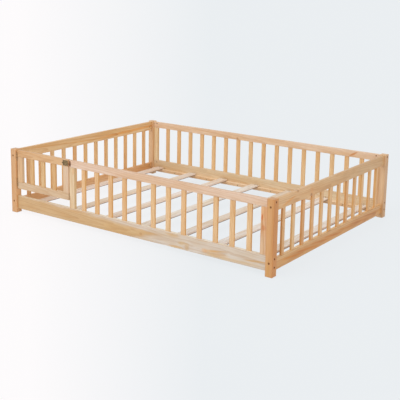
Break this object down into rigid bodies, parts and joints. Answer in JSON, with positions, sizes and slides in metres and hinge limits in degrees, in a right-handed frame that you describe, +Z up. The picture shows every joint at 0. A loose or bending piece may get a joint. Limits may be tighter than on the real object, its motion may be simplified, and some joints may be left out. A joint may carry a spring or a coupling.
{
  "type": "toddler floor bed",
  "caption": "Low pine floor bed with slatted fences all round, a small swing gate with a slide bolt at one end of the long side, and bed slats on cleats for a mattress.",
  "frame": {"origin": "on the floor, under the middle of the bed's outline", "axes": "+X along the bed's length from the gate end, +Y from the gate side to the back, +Z up"},
  "size_m": [2.008, 1.476, 0.428],
  "materials": {
    "pine_posts": "clear satin varnish",
    "pine_side_rails": "clear satin varnish",
    "pine_boards": "clear satin varnish",
    "pine_end_rails": "clear satin varnish",
    "pine_stiles": "clear satin varnish",
    "pine_slats": "clear satin varnish",
    "pine_gate": "clear satin varnish",
    "pine_cleats": "clear satin varnish",
    "raw_bed_slats": "raw, planed",
    "beech_dowels": "raw, fluted stock",
    "bronze_hinges": "antique bronze",
    "bronze_latch": "antique bronze",
    "bronzed_bolts": "bronzed steel",
    "steel_screws": "bronzed steel"
  },
  "bodies": {
    "frame": {"post_front_left": "pine_posts", "post_front_right": "pine_posts", "post_back_left": "pine_posts", "post_back_right": "pine_posts", "front_top_rail": "pine_side_rails", "back_top_rail": "pine_side_rails", "front_bottom_board": "pine_boards", "back_bottom_board": "pine_boards", "left_top_rail": "pine_end_rails", "right_top_rail": "pine_end_rails", "left_bottom_board": "pine_end_rails", "right_bottom_board": "pine_end_rails", "front_gate_stile": "pine_stiles", "front_end_stile": "pine_stiles", "back_stile_left": "pine_stiles", "back_stile_right": "pine_stiles", "front_slats": "pine_slats", "back_slats": "pine_slats", "left_slats": "pine_slats", "right_slats": "pine_slats", "front_cleat": "pine_cleats", "back_cleat": "pine_cleats", "bed_slat_1": "raw_bed_slats", "bed_slat_2": "raw_bed_slats", "bed_slat_3": "raw_bed_slats", "bed_slat_4": "raw_bed_slats", "bed_slat_5": "raw_bed_slats", "bed_slat_6": "raw_bed_slats", "bed_slat_7": "raw_bed_slats", "corner_dowels": "beech_dowels", "stile_dowels": "beech_dowels", "upper_hinge_post_leaf": "bronze_hinges", "lower_hinge_post_leaf": "bronze_hinges", "upper_hinge_pin": "bronze_hinges", "lower_hinge_pin": "bronze_hinges", "latch_keeper": "bronze_latch", "side_bolts": "bronzed_bolts", "end_bolts": "bronzed_bolts", "side_barrel_nuts": "bronzed_bolts", "end_barrel_nuts": "bronzed_bolts", "cleat_screws": "steel_screws", "bed_slat_screws": "steel_screws", "post_leaf_screws": "steel_screws", "keeper_screws": "steel_screws"},
    "gate": {"gate_top_rail": "pine_gate", "gate_bottom_rail": "pine_gate", "gate_hinge_stile": "pine_gate", "gate_latch_stile": "pine_gate", "gate_slats": "pine_slats", "gate_dowels": "beech_dowels", "upper_hinge_gate_leaf": "bronze_hinges", "lower_hinge_gate_leaf": "bronze_hinges", "gate_leaf_screws": "steel_screws", "latch_body": "bronze_latch", "latch_screws": "steel_screws"},
    "bolt": {"latch_bolt": "bronze_latch", "latch_knob": "bronze_latch"}
  },
  "joints": [
    {"name": "gate_swing", "type": "hinge", "parent": "frame", "child": "gate", "pos_m": [-0.9557, -0.7293, 0.293], "axis": [0, 0, -1], "range_deg": [0, 120]},
    {"name": "latch_slide", "type": "slide", "parent": "gate", "child": "bolt", "axis": [1, 0, 0], "range_m": [0, 0.02]}
  ]
}
